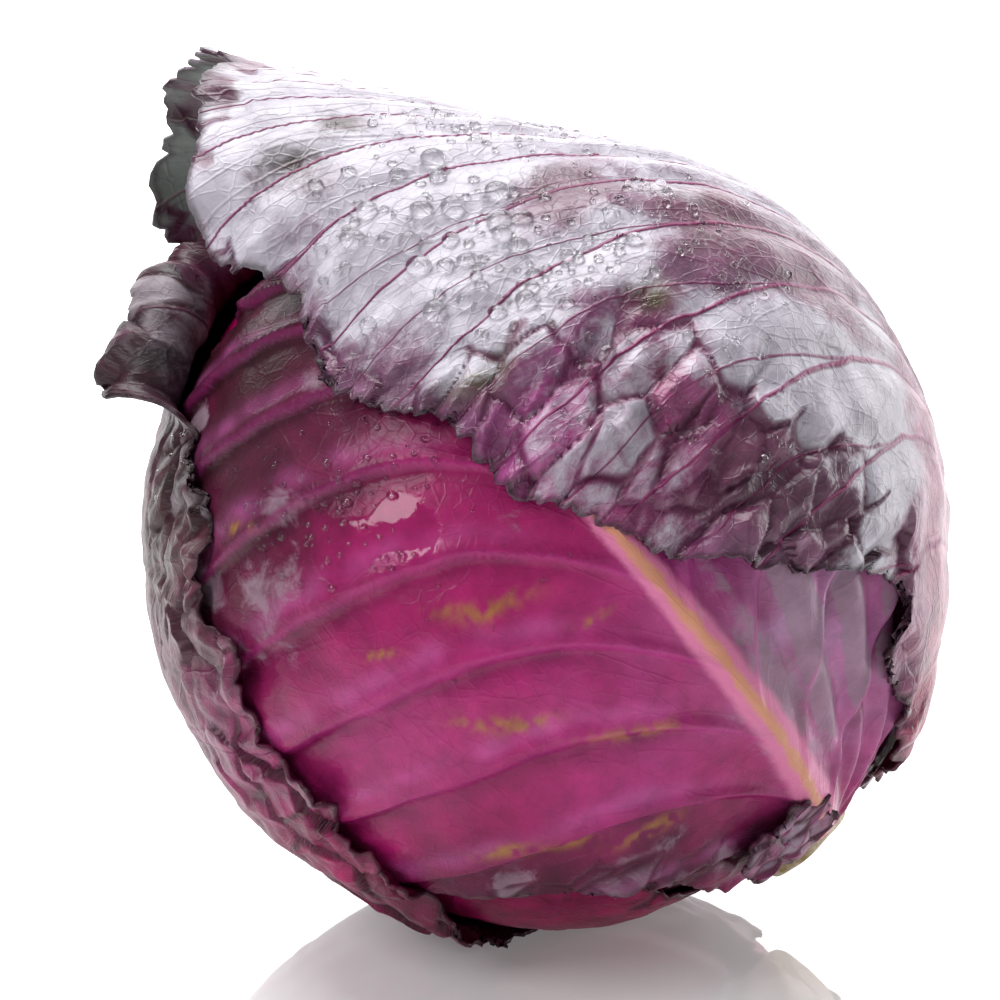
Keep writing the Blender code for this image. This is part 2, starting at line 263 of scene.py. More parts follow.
topLeaf = {
    "longitude": -100, "distance": 92, "layer": 4, "cells": 219, "thickness": 0.9 * mm, "hood": True,
    "finer": (-0.3, 0.0), "crowd": 20 * mm,
    "outline": [(-90, 81), (-60, 70), (-20, 62), (20, 66), (42, 80), (54, 88), (62, 92), (67, 87), (72, 84),
                (79, 80), (84, 79), (87, 80), (91, 79.5), (95, 82), (102, 87), (108, 94), (113, 99), (119, 97),
                (125, 97), (130, 101), (138, 103), (146, 101), (154, 97), (160, 98), (166, 98), (176, 93),
                (185, 90), (192, 84), (201, 77), (211, 69), (221, 65), (226, 73), (236, 76), (252, 80)],
    "ragged": 2.4 * mm, "lobe": 8 * mm, "ruffle": 2.8 * mm, "midrib": 2.0 * mm, "ridge": 0.5 * mm,
    "crumple": 2.4 * mm, "terrace": 0.6 * mm, "puff": 1.6 * mm, "lean": -0.3, "panel": 11 * mm,
    "stretch": (0.6, 1.0), "zone": 14 * mm, "ridgeWidth": 1.4 * mm,
    "crumpleAt": [(-120, 34, 22, 1.2), (-122, 8, 22, 1.2), (-106, -14, 20, 1.2), (-90, -38, 18, 1.1),
                  (-112, 62, 14, 0.7), (-92, 30, 12, 0.6), (-78, -58, 14, 0.8)],
    "gap": 4.2 * mm, "start": -85 * mm, "rise": 94 * mm, "run": 40 * mm, "fan": 18 * mm,
    "ground": "#74506a",
    "patches": [
        (-122, 34, 26, 0.95, "#8c3c74"), (-124, 6, 24, 0.95, "#8a3468"), (-104, 24, 12, 0.7, "#7c3058"),
        (-58, 30, 14, 0.7, "#6a4450"), (-56, 4, 14, 0.7, "#70485a"), (-60, 62, 12, 0.5, "#6a5058"),
        (-98, -20, 16, 0.7, "#6a4458"), (-106, -10, 12, 0.7, "#643c50"), (-84, -44, 14, 0.8, "#54323f"),
        (-42, -30, 20, 0.7, "#b88c9e"), (-43, -60, 24, 0.8, "#bc8c9e"), (-30, -90, 30, 0.9, "#a45068"),
        (-46, 114, 11, 0.85, "#3c302c"), (-36, 106, 9, 0.8, "#40342e"), (-22, 119, 9, 0.6, "#5a5c54"),
        (-88, 34, 6, 0.9, "#5c5c38"), (-114, 61, 7, 0.8, "#50502c"),
        (40, 60, 60, 0.5, "#6a5868"), (30, -40, 50, 0.6, "#84486a"),
    ],
    "bloom": [(-30, 118, 34, 0.95), (-73, 89, 32, 0.95), (-95, 66, 22, 0.9), (-80, 50, 20, 0.7),
              (-80, -6, 22, 0.98), (-66, -26, 20, 0.95), (-90, -22, 12, 0.8), (-88, 14, 14, 0.7),
              (-112, 34, 26, 0.36), (-122, 4, 24, 0.3), (-50, 80, 24, 0.85), (-50, 40, 14, 0.6),
              (-46, -10, 12, 0.6), (-84, -54, 14, 0.85), (20, 60, 80, 0.85), (40, -20, 50, 0.7)],
    "bare": [(-46, 114, 8, 0.5), (-36, 105, 6, 0.5), (-58, 28, 10, 0.4), (-56, 4, 10, 0.4), (-96, -22, 12, 0.5),
             (-108, -4, 9, 0.4), (-60, 62, 12, 0.3), (-72, 70, 10, 0.25)],
}

scrap = {
    "longitude": 4, "distance": 30, "layer": 3.6, "cells": 70, "thickness": 0.9 * mm,
    "outline": [(-90, 10), (-60, 8.5), (-20, 7.5), (0, 8), (30, 8), (60, 8.5), (90, 7.5), (120, 9), (150, 7.5),
                (180, 8), (240, 8.5)],
    "ragged": 1.6 * mm, "lobe": 5 * mm, "ruffle": 2.2 * mm, "midrib": 0.6 * mm, "ridge": 0.5 * mm,
    "crumple": 1.6 * mm, "panel": 6 * mm, "zone": 30 * mm,
    "gap": 9 * mm, "start": 0, "rise": 10 * mm, "run": 10 * mm, "fan": 0,
    "ground": "#a06484",
    "patches": [(4, 8, 8, 0.5, "#6a4460")],
    "bloom": [(0, 0, 20, 0.5)],
}


# what all the leaves share, unless a leaf has its own value; the "At" lists run from the base to the tip
growth = {
    "ribAt": [-110 * mm, -40 * mm, 30 * mm, 90 * mm], "ribHalf": [8.0 * mm, 5.0 * mm, 2.8 * mm, 1.4 * mm],
    "fallAt": [-110 * mm, -40 * mm, 20 * mm, 80 * mm], "fall": [1.0, 1.0, 0.6, 0.2],   # height of the midrib
    "veinsEnd": 130 * mm,            # side veins get lower towards this far from the midrib
    "step": 4 * mm,                  # width of the step down behind a side vein
    "calm": (5 * mm, 24 * mm),       # flat nearer to the midrib than the first, fully puffed past the second
    "lobe": 9 * mm, "panel": 9 * mm, "zone": 20 * mm, "ridgeWidth": 1.3 * mm, "terrace": 0.3 * mm, "puff": 0.2 * mm,
    "warp": 2.5 * mm,                # bends the borders of the puckered panels
    "tilt": 0.18, "mostCrumple": 1.5,
    "frill": 15 * mm,                # the margin waves over this width
    "deepest": -1.4 * mm,            # no leaf sinks further than this into the one below
    "foot": 14 * mm,                 # a margin this wide rests on the table with its full thickness
    # the first colour is the painted highlight just beyond each side vein; the scar colour is the yellow scars
    "paintedHighlightColour": "#c468a8", "scarColour": "#a8803e",
}


def leafFields(leaf, right, forward):
    # right, forward: places on a unit disc. Gives the points of the outer face and what the finish reads
    leaf = {**growth, **leaf}
    middle, ownRight, ownUp = leafAxes(leaf["longitude"], leaf["distance"])
    seed = leaf["longitude"] * 0.37
    turn = np.arctan2(forward, right)
    share = np.hypot(right, forward)
    degrees = np.degrees(turn)
    reach = np.radians(closedCurve(leaf["outline"], degrees)) * head["radius"]
    rim = np.stack([np.cos(turn), np.sin(turn), np.zeros_like(turn)], 1) * reach[:, None]
    lobes = panels(rim, leaf["lobe"], seed + 2)[0]
    tear = leaf["ragged"] * (lobes - 0.55 + 0.5 * bumps(rim, 4 * mm, seed) + 0.3 * bumps(rim, 1.5 * mm, seed + 3))
    along = share * reach + tear * share ** 12
    edge = reach * (1 - share)
    x, y = along * np.cos(turn), along * np.sin(turn)
    flat = np.stack([x, y, np.zeros_like(x)], 1)

    # side veins: an index that grows by one from each to the next
    far = np.abs(x)
    climbed = leaf["rise"] * (1 - np.exp(-far / leaf["run"]))
    spread = 1 + far / leaf["fan"] if leaf["fan"] else np.ones_like(far)
    wobble = 1.4 * mm * bumps(flat, 26 * mm, seed + 5) + 0.5 * mm * bumps(flat, 9 * mm, seed + 6)
    begin = (y - climbed - leaf["start"] + wobble) / spread
    crowd = leaf.get("crowd", 0)                        # veins start close together near the base
    if crowd:
        index = np.sign(begin) * crowd / leaf["gap"] * np.log(1 + np.abs(begin) / crowd)
        gap = leaf["gap"] * (1 + np.abs(begin) / crowd) * spread
    else:
        index, gap = begin / leaf["gap"], leaf["gap"] * spread
    index = index + np.where(x > 0, 0.5, 0.0)
    off = np.abs((index + 0.5) % 1.0 - 0.5) * gap       # metres to the nearest side vein
    fade = np.clip(1 - far / leaf["veinsEnd"], 0.25, 1.0)

    # relief: midrib, side veins, a step down behind each of them and a swelling between them
    rib = np.exp(-(x / np.interp(y, leaf["ribAt"], leaf["ribHalf"])) ** 2)
    lift = leaf["midrib"] * np.interp(y, leaf["fallAt"], leaf["fall"]) * rib
    lift = lift + leaf["ridge"] * np.exp(-(off / leaf["ridgeWidth"]) ** 2) * fade * (1 - 0.7 * rib)
    between = index % 1.0
    clear = smoothStep(far, *leaf["calm"])
    stair = 1 - between + smoothStep(between, 1 - np.clip(leaf["step"] / gap, 0.1, 0.4), 1.0)
    lift = lift + leaf["terrace"] * (stair - 0.6) * clear
    lift = lift + leaf["puff"] * (np.sin(np.pi * between) ** 0.8 - 0.6) * clear
    lift = lift + leaf["puff"] * 0.35 * bumps(flat * [1.6, 0.8, 1], 13 * mm, seed + 14) * clear

    # puckers: panels that bulge, tilt and overlap
    crumple = 0.8 * (1 - smoothStep(edge, 0, leaf["zone"]))
    for px, py, size, amount in leaf.get("crumpleAt", []):
        crumple += amount * np.exp(-((x - px * mm) ** 2 + (y - py * mm) ** 2) / (size * mm) ** 2)
    crumple = np.minimum(crumple, leaf["mostCrumple"])
    bent = flat + leaf["warp"] * np.stack([bumps(flat, 10 * mm, seed + 40), bumps(flat, 10 * mm, seed + 41), 0 * x], 1)
    dome, border, offset, own = panels(bent * [*leaf.get("stretch", (1.0, 1.0)), 1.0], leaf["panel"], seed)
    tilt = leaf["tilt"] * (own[:, 0] * offset[:, 0] + own[:, 1] * offset[:, 1]) / mm
    folds = 1 - 2 * np.abs(bumps(bent * [0.7, 1.3, 1.0], 12 * mm, seed + 15))   # sharp crests, round valleys
    lift = lift + leaf["crumple"] * crumple * (0.42 * (dome - 0.5) + 0.5 * tilt + 0.3 * own[:, 2] + 0.5 * (folds - 0.5)
                                               + 0.3 * bumps(flat, 5 * mm, seed + 9))
    lift = lift + 0.3 * mm * bumps(flat, 12 * mm, seed + 11) + 0.12 * mm * bumps(flat, 3 * mm, seed + 12)
    pleatCount, pleatHeight = leaf.get("pleats", (0, 0))
    pleat = np.sin(pleatCount * np.arctan2(x, y + 100 * mm) + 0.8 * bumps(flat, 30 * mm, seed + 13))
    pleated = smoothStep(x, 4 * mm, 16 * mm) * (pleatCount > 0)
    lift = lift + pleatHeight * pleat * pleated
    frill = bumps(rim, 16 * mm, seed + 20) + 0.7 * bumps(rim, 7 * mm, seed + 21) + leaf.get("lean", 0)
    lift = lift + leaf["ruffle"] * frill * (1 - smoothStep(edge, 0, leaf["frill"])) ** 1.4
    lift = np.maximum(lift, leaf["deepest"])

    # the rolled margin
    if "roll" in leaf:
        roll = leaf["roll"]
        here = smoothStep(degrees % 360, roll["start"] - roll["fade"], roll["start"])
        here = here * (1 - smoothStep(degrees % 360, roll["end"], roll["end"] + roll["fade"]))
        begin = reach - roll["length"] * here
        bend = np.maximum(along - begin, 0) / roll["radius"]
        along = np.where(here > 0, np.minimum(along, begin) + roll["radius"] * np.sin(bend), along)
        lift = lift + roll["radius"] * (1 - np.cos(bend)) * (here > 0)

    angle = along / head["radius"]
    outwards = np.cos(turn)[:, None] * ownRight + np.sin(turn)[:, None] * ownUp
    directions = np.cos(angle)[:, None] * middle + np.sin(angle)[:, None] * outwards
    if leaf.get("hood"):
        lift = lift + hoodLift(directions)
    points = directions * (headSurface(directions) + leaf["layer"] * head["pitch"] + lift)[:, None] + centre
    # nothing goes through the table; a free margin keeps room for its own thickness
    points[:, 2] = np.maximum(points[:, 2], leaf["thickness"] * np.where(edge < leaf["foot"], 1.05, 0.02))

    # colour of the ground, without its fine detail
    warp = 6 * mm * np.stack([bumps(flat, 14 * mm, seed + 30), bumps(flat, 14 * mm, seed + 31)], 1)
    mottle = bumps(flat, 7 * mm, seed + 33)
    puckered = np.clip(crumple, 0, 1)

    def spot(px, py, size):
        away = ((x + warp[:, 0] - px * mm) ** 2 + (y + warp[:, 1] - py * mm) ** 2) / (size * mm) ** 2
        return np.exp(-away ** 1.3)

    ground = np.tile(srgb(leaf["ground"]), (len(x), 1))
    for px, py, size, amount, colour in leaf["patches"]:
        weight = np.clip(amount * spot(px, py, size) * (1 + 0.5 * mottle), 0, 1)[:, None]
        ground = ground * (1 - weight) + np.array(srgb(colour)) * weight
    paintedVeinShading = leaf.get("paintedVeinShading", 0) * clear[:, None]         # painted highlight just beyond a side vein, painted shade before the next
    light = (np.exp(-((between - 0.16) / 0.12) ** 2) * np.clip(0.6 + 0.9 * mottle, 0, 1) * 0.42)[:, None] * paintedVeinShading
    ground = ground * (1 - light) + np.array(srgb(leaf["paintedHighlightColour"])) * light
    # painted shade in the low part before the step up to the next side vein
    dark = smoothStep(between, 0.6, 0.88) * (1 - smoothStep(between, 0.9, 1.0)) * np.clip(0.6 - mottle, 0.2, 1)
    ground = ground * (1 - 0.4 * paintedVeinShading * dark[:, None])
    # each puckered panel gets its own tone, lighter the higher it stands: partly the tissue's own variation, partly
    # painted light on raised panels and painted shade on sunken ones
    ground = ground * (1 + 0.35 * own[:, 2] * puckered)[:, None]
    bloom = np.zeros_like(x)
    for px, py, size, amount in leaf["bloom"]:
        bloom = np.maximum(bloom, amount * spot(px, py, size))
    for px, py, size, amount in leaf.get("bare", []):
        bloom = bloom - amount * spot(px, py, size)
    bloom = bloom + 0.3 * own[:, 1] * puckered - 0.5 * pleated * smoothStep(-pleat, 0.1, 0.5)
    wet = np.zeros_like(x)
    for px, py, size, amount in leaf.get("wet", []):
        wet = np.maximum(wet, amount * spot(px, py, size))
    for px, py, size, slant in leaf.get("streaks", []):
        cosine, sine = math.cos(math.radians(slant)), math.sin(math.radians(slant))
        u, v = x + 0.4 * warp[:, 0] - px * mm, y + 0.4 * warp[:, 1] - py * mm
        long, across = u * cosine + v * sine, v * cosine - u * sine
        away = (long / (size * 1.8 * mm)) ** 2 + (across / (size * 0.38 * mm)) ** 2
        weight = 0.85 * np.exp(-away) * smoothStep(bumps(flat, 2.0 * mm, seed + 50), -0.3, 0.15)
        ground = ground * (1 - weight[:, None]) + np.array(srgb(leaf["scarColour"])) * weight[:, None]
        bloom = bloom - weight
    seam = border + 4 * mm * (1 - np.clip(crumple * 1.6, 0, 1))
    return points, {"x": x, "y": y, "index": index, "gap": gap, "edge": edge, "ground": ground,
                    "bloom": np.clip(bloom, 0, 1), "wet": wet, "seam": seam}


def addLeaf(name, leaf, finishes, replaced=None):
    cells = leaf["cells"]
    mesh = bmesh.new()
    bmesh.ops.create_grid(mesh, x_segments=cells, y_segments=cells, size=1.0)
    data = bpy.data.meshes.new(name)
    mesh.to_mesh(data)
    mesh.free()
    count = len(data.vertices)
    co = np.empty(count * 3)
    data.vertices.foreach_get("co", co)
    s, t = co.reshape(-1, 3)[:, 0], co.reshape(-1, 3)[:, 1]
    crowdX, crowdY = leaf.get("finer", (0, 0))          # smaller faces towards one side
    s, t = s + crowdX * (1 - s * s), t + crowdY * (1 - t * t)
    points, fields = leafFields(leaf, s * np.sqrt(1 - t * t / 2), t * np.sqrt(1 - s * s / 2))
    data.vertices.foreach_set("co", points.ravel())
    loops = np.empty(len(data.loops), int)
    data.loops.foreach_get("vertex_index", loops)
    for layer, across, upward in (("place", "x", "y"), ("veins", "x", "index")):
        uv = data.uv_layers.new(name=layer)
        uv.data.foreach_set("uv", np.stack([fields[across][loops], fields[upward][loops]], 1).ravel())
    for field in ("gap", "edge", "bloom", "wet", "seam"):
        data.attributes.new(field, "FLOAT", "POINT").data.foreach_set("value", fields[field])
    tint = data.attributes.new("ground", "FLOAT_COLOR", "POINT")
    tint.data.foreach_set("color", np.concatenate([fields["ground"], np.ones((count, 1))], 1).ravel())
    data.update()
    made = bpy.data.objects.new(name, data)
    bpy.context.scene.collection.objects.link(made)
    for finish in finishes:
        data.materials.append(finish)
    data.shade_smooth()
    wall = made.modifiers.new("thickness", "SOLIDIFY")
    wall.thickness = leaf["thickness"]
    wall.offset = -1
    if len(finishes) > 1:
        wall.material_offset = 1
    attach(made, "root")
    if replaced:
        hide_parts(replaced)
    print("leaf", name, count, "points")
    normals = np.empty(count * 3)
    data.vertices.foreach_get("normal", normals)
    return {"points": points, "normals": normals.reshape(-1, 3), "fields": fields}


def add(tree, kind, settings=None, **links):
    # adds a node: settings are its properties and sockets, links the nodes that feed it.
    # "#3" is the socket number 3, and i3 the link into it; a source is a node or (node, output)
    node = tree.nodes.new(kind)
    for key, value in (settings or {}).items():
        if hasattr(node, key):
            setattr(node, key, value)
        else:
            node.inputs[int(key[1:]) if key[0] == "#" else key].default_value = value
    for key, source in links.items():
        source, output = source if isinstance(source, tuple) else (source, 0)
        socket = int(key[1:]) if key[0] == "i" and key[1:].isdigit() else key.replace("_", " ")
        tree.links.new(source.outputs[output], node.inputs[socket])
    return node


def newFinish(name):
    finish = bpy.data.materials.new(name)
    finish.use_nodes = True
    return finish, finish.node_tree, finish.node_tree.nodes["Principled BSDF"]


def leafFinish(name, look):
    finish, tree, shader = newFinish(name)
    smooth = {"interpolation_type": "SMOOTHSTEP"}
    fades = {**smooth, "To Min": 1.0, "To Max": 0.0}    # full on a line, nothing at "From Max" away from it
    times, plus, most = {"operation": "MULTIPLY"}, {"operation": "ADD"}, {"operation": "MAXIMUM"}
    timesPlus = {"operation": "MULTIPLY_ADD"}           # i0 times i1 plus i2
    mixed = {"data_type": "RGBA"}                       # its sockets 6 and 7 are the two colours, output 2 the result
    place = add(tree, "ShaderNodeUVMap", {"uv_map": "place"})
    flat = add(tree, "ShaderNodeSeparateXYZ", i0=place)
    veins = add(tree, "ShaderNodeSeparateXYZ", i0=add(tree, "ShaderNodeUVMap", {"uv_map": "veins"}))
    gap, edge, bloom, wet, seam = ((add(tree, "ShaderNodeAttribute", {"attribute_name": field}), 2)
                                   for field in ("gap", "edge", "bloom", "wet", "seam"))
    ground = add(tree, "ShaderNodeAttribute", {"attribute_name": "ground"})
    far = add(tree, "ShaderNodeMath", {"operation": "ABSOLUTE"}, i0=veins)

    # unevenness of the tissue: wandering veins at 12 mm, mottling at 7 mm and grain at 1.2 mm
    wander = add(tree, "ShaderNodeTexNoise", {"Scale": 1 / (12 * mm), "Detail": 2.0}, Vector=place)
    coarse = add(tree, "ShaderNodeTexNoise", {"Scale": 1 / (7 * mm), "Detail": 6.0, "Roughness": 0.62}, Vector=place)
    fine = add(tree, "ShaderNodeTexNoise", {"Scale": 1 / (1.2 * mm), "Detail": 3.0}, Vector=place)

    # side veins lie where the index is a whole number; further out each one forks
    index = add(tree, "ShaderNodeMath", {**timesPlus, "#1": 0.12}, i0=wander, i2=(veins, 1))
    width = add(tree, "ShaderNodeMapRange", {"From Max": 0.11, "To Min": look["veinWidth"] * mm,
                                             "To Max": 0.45 * look["veinWidth"] * mm}, Value=far)
    forked = add(tree, "ShaderNodeMapRange", {**smooth, "From Min": look["forkAt"] * mm, "To Max": 0.46,
                                              "From Max": (look["forkAt"] + 40) * mm}, Value=far)
    branch = add(tree, "ShaderNodeMath", {"operation": "SUBTRACT"}, i0=index, i1=forked)
    lines = []
    for phase, share in ((index, 1.0), (branch, 0.65)):
        off = add(tree, "ShaderNodeMath", times, i0=add(tree, "ShaderNodeMath", {"operation": "PINGPONG", "#1": 0.5},
                                                        i0=phase), i1=gap)
        reach = add(tree, "ShaderNodeMath", {**times, "#1": share}, i0=width)
        lines.append(add(tree, "ShaderNodeMapRange", {**smooth, "To Min": share, "To Max": 0.0}, Value=off,
                         From_Max=reach))
    vein = add(tree, "ShaderNodeMath", most, i0=lines[0], i1=lines[1])
    # borders of the puckered panels, 0.9 mm wide
    crease = add(tree, "ShaderNodeMapRange", {**fades, "From Max": 0.9 * mm}, Value=seam)
    cross = add(tree, "ShaderNodeCombineXYZ",
                i0=add(tree, "ShaderNodeMath", {**times, "#1": 1 / (look["crossEvery"] * mm)}, i0=veins),
                i1=add(tree, "ShaderNodeMath", {**times, "#1": 2.2}, i0=index))
    crossNet = add(tree, "ShaderNodeTexVoronoi", {"feature": "DISTANCE_TO_EDGE", "Scale": 1.0, "Randomness": 0.9},
                   Vector=cross)
    crossLine = add(tree, "ShaderNodeMapRange", {**fades, "From Max": 0.05}, Value=crossNet)
    fineNet = add(tree, "ShaderNodeTexVoronoi", {"feature": "DISTANCE_TO_EDGE", "Scale": 1 / (3.2 * mm)}, Vector=place)
    fineLine = add(tree, "ShaderNodeMapRange", {**fades, "From Max": 0.09}, Value=fineNet)

    shade = add(tree, "ShaderNodeMapRange", {"From Min": 0.3, "From Max": 0.7, "To Min": look["darkest"],
                                             "To Max": look["lightest"]}, Value=coarse)
    colour = add(tree, "ShaderNodeMix", {**mixed, "blend_type": "MULTIPLY", "#0": 1.0}, i6=ground, i7=shade)
    crossTint = add(tree, "ShaderNodeMath", {**times, "#1": look["crossStrength"]}, i0=crossLine)
    colour = add(tree, "ShaderNodeMix", {**mixed, "#7": (*srgb(look["crossColour"]), 1)}, i0=crossTint, i6=(colour, 2))

    # waxy bloom: silver grey, rubbed off in patches and missing over the veins
    rub = add(tree, "ShaderNodeTexNoise", {"Scale": 1 / (8 * mm), "Detail": 9.0, "Roughness": 0.72, "Distortion": 0.5},
              Vector=place)
    level = add(tree, "ShaderNodeMath", plus, i0=rub, i1=bloom)
    waxy = add(tree, "ShaderNodeMapRange", {**smooth, "From Min": 0.72, "From Max": look["bloomFull"],
                                            "To Max": look["bloomMost"]}, Value=level)
    bare = add(tree, "ShaderNodeMath", {**times, "#1": look["netBare"]}, i0=crossLine)
    bare = add(tree, "ShaderNodeMath", {**timesPlus, "#1": look["netBare"] * 0.5}, i0=fineLine, i2=bare)
    for line in (vein, crease):
        bare = add(tree, "ShaderNodeMath", most, i0=bare, i1=line)
    kept = add(tree, "ShaderNodeMath", {"operation": "SUBTRACT", "#0": 1.0, "use_clamp": True}, i1=bare)
    waxy = add(tree, "ShaderNodeMath", times, i0=waxy, i1=kept)
    wax = add(tree, "ShaderNodeMix", {**mixed, "#6": (*srgb(look["bloomDark"]), 1),
                                      "#7": (*srgb(look["bloomLight"]), 1)}, i0=coarse)
    colour = add(tree, "ShaderNodeMix", mixed, i0=waxy, i6=(colour, 2), i7=(wax, 2))
    # crease lines darken: partly the leaf's own dark lines between the panels, partly painted shade in the folds; the
    # veins get their own colour
    for line, amount, tint in ((crease, look["creaseShadeStrength"], look["creaseShadeColour"]),
                               (vein, look["veinStrength"], look["veinColour"])):
        part = add(tree, "ShaderNodeMath", {**times, "#1": amount}, i0=line)
        colour = add(tree, "ShaderNodeMix", {**mixed, "#7": (*srgb(tint), 1)}, i0=part, i6=(colour, 2))

    # midrib: pale pink, wider towards the base, with a yellow stripe
    ribWidth = add(tree, "ShaderNodeMapRange", {"From Min": -80 * mm, "From Max": 60 * mm, "To Min": 6.2 * mm,
                                                "To Max": 2.2 * mm}, Value=(flat, 1))
    ribEnd = add(tree, "ShaderNodeMapRange", {"From Min": 20 * mm, "From Max": 80 * mm, "To Min": look["midrib"],
                                              "To Max": 0.0}, Value=(flat, 1))
    ribCore = add(tree, "ShaderNodeMath", {**times, "#1": 0.55}, i0=ribWidth)
    worn = add(tree, "ShaderNodeMath", {**timesPlus, "#1": 3 * mm, "#2": -1.5 * mm}, i0=coarse)
    worn = add(tree, "ShaderNodeMath", plus, i0=far, i1=worn)
    rib = add(tree, "ShaderNodeMapRange", {**smooth, "To Max": 0.0}, Value=worn, From_Min=ribCore, From_Max=ribWidth,
              To_Min=ribEnd)
    colour = add(tree, "ShaderNodeMix", {**mixed, "#7": (*srgb(look["ribColour"]), 1)}, i0=rib, i6=(colour, 2))
    ragged = add(tree, "ShaderNodeMath", {**timesPlus, "#1": 4 * mm, "#2": -2.4 * mm}, i0=coarse)
    stripe = add(tree, "ShaderNodeMapRange", {**smooth, "From Max": 1.5 * mm, "To Min": 0.8, "To Max": 0.0},
                 Value=add(tree, "ShaderNodeMath", plus, i0=far, i1=ragged))
    stripe = add(tree, "ShaderNodeMath", times, i0=stripe, i1=rib)
    colour = add(tree, "ShaderNodeMix", {**mixed, "#7": (*srgb(look["stripeColour"]), 1)}, i0=stripe, i6=(colour, 2))

    # the torn rim dries dark, over 2 mm
    dry = add(tree, "ShaderNodeMapRange", {**smooth, "From Min": 0.3 * mm, "From Max": 2.0 * mm, "To Min": look["rim"],
                                           "To Max": 0.0}, Value=edge)
    colour = add(tree, "ShaderNodeMix", {**mixed, "#7": (*srgb(look["rimColour"]), 1)}, i0=dry, i6=(colour, 2))
    colour = add(tree, "ShaderNodeGamma", {"Gamma": look["depth"]}, Color=(colour, 2))
    tree.links.new(colour.outputs[0], shader.inputs["Base Color"])

    # gloss: the bare cuticle is shiny, its wax is duller, and a film of water is nearly a mirror
    gloss = add(tree, "ShaderNodeMapRange", {"To Min": look["gloss"], "To Max": look["bloomGloss"]}, Value=waxy)
    gloss = add(tree, "ShaderNodeMath", {**timesPlus, "#1": 0.16}, i0=fine, i2=gloss)
    damp = add(tree, "ShaderNodeMath", {**timesPlus, "#1": 0.5}, i0=coarse, i2=wet)
    film = add(tree, "ShaderNodeMapRange", {**smooth, "From Min": 0.62, "From Max": 0.8, "To Min": 1.0, "To Max": 0.1},
               Value=damp)
    gloss = add(tree, "ShaderNodeMath", {**times, "use_clamp": True}, i0=gloss, i1=film)
    tree.links.new(gloss.outputs[0], shader.inputs["Roughness"])
    shader.inputs["IOR"].default_value = look["ior"]
    shader.inputs["Specular IOR Level"].default_value = look["specular"]
    shader.inputs["Coat Weight"].default_value = look["coat"]
    shader.inputs["Coat Roughness"].default_value = 0.2

    # fine relief on top of what the mesh carries: veins, net and grain
    height = add(tree, "ShaderNodeMath", {**times, "#1": 0.5}, i0=vein)
    for part, amount in ((crossLine, 0.14), (fineLine, 0.1), (crease, -0.4), (coarse, 0.7), (fine, 0.12)):
        height = add(tree, "ShaderNodeMath", {**timesPlus, "#1": amount}, i0=part, i2=height)
    height = add(tree, "ShaderNodeMath", times, i0=height, i1=film)
    bump = add(tree, "ShaderNodeBump", {"Strength": look["bump"], "Distance": 1.0 * mm}, Height=height)
    tree.links.new(bump.outputs[0], shader.inputs["Normal"])
    return finish


# plant cuticle: IOR 1.45, roughness near 0.35 where it is clean and 0.45 under its wax; lengths here are in mm
leafLook = {
    "depth": 1.12, "veinWidth": 1.4, "forkAt": 60, "crossEvery": 13, "darkest": 0.6, "lightest": 1.35,
    "crossColour": "#8c2a62", "crossStrength": 0.12, "netBare": 0.15, "bloomFull": 1.1, "bloomMost": 0.85,
    "bloomDark": "#8c8190", "bloomLight": "#c4bac8", "veinColour": "#8c1f66", "veinStrength": 0.75,
    # the near-black crease colour is partly the dark lines between puckered panels, partly painted shade in their
    # folds
    "creaseShadeColour": "#38101f", "creaseShadeStrength": 0.75, "midrib": 0.85, "rim": 0.6, "rimColour": "#2c0f1c",
    "gloss": 0.26, "bloomGloss": 0.38, "ior": 1.45, "specular": 0.4,
    "ribColour": "#b890a4", "stripeColour": "#c4a894", "coat": 0.0, "bump": 0.5,
}

# fresh wrapper leaf: clean and saturated, so its broad veins read as soft pink ridges
magentaLeaf = leafFinish("fresh_magenta_leaf", {
    **leafLook, "darkest": 0.78, "lightest": 1.2, "creaseShadeStrength": 0.35, "rim": 0.3,
    "ribColour": "#dc86ac", "stripeColour": "#d0a060",
    "veinColour": "#c04098", "veinStrength": 0.25, "veinWidth": 2.4, "forkAt": 90, "crossColour": "#701848",
    "crossStrength": 0.06, "netBare": 0.05, "bloomDark": "#806a78", "bloomLight": "#ad98a6", "bloomMost": 0.75,
    "bloomFull": 0.95, "gloss": 0.24, "specular": 0.28, "bump": 0.35})
# younger leaf that was covered until now: no wax, smooth
innerLeaf = leafFinish("smooth_inner_leaf", {
    **leafLook, "veinStrength": 0.2, "crossStrength": 0.05, "netBare": 0.05, "bloomDark": "#7d5266",
    "bloomLight": "#9a7088", "gloss": 0.3, "ior": 1.3, "specular": 0.15, "bump": 0.25})
# outermost leaf: silver wax over purple, which gives the pale panels between dark magenta veins
bloomedLeaf = leafFinish("bloomed_outer_leaf", {
    **leafLook, "veinWidth": 1.7, "veinStrength": 0.95, "bloomDark": "#746a78", "bloomLight": "#e8e6f0",
    # its dark magenta crease colour: the lines between the panels, with painted shade of the folds
    "bloomMost": 0.9, "bloomGloss": 0.32, "coat": 0.08, "specular": 0.5, "creaseShadeColour": "#561840",
    "creaseShadeStrength": 0.7, "netBare": 0.08, "bump": 0.7, "veinColour": "#86145e"})
# old outer leaf: brown and purple mottling under rubbed wax, duller
mottledLeaf = leafFinish("mottled_outer_leaf", {
    **leafLook, "veinColour": "#6a2a4e", "veinStrength": 0.4, "bloomDark": "#6c6066", "bloomLight": "#aaa0a8",
    "bloomMost": 0.8, "bloomFull": 1.0, "gloss": 0.34, "darkest": 0.45, "lightest": 1.5})
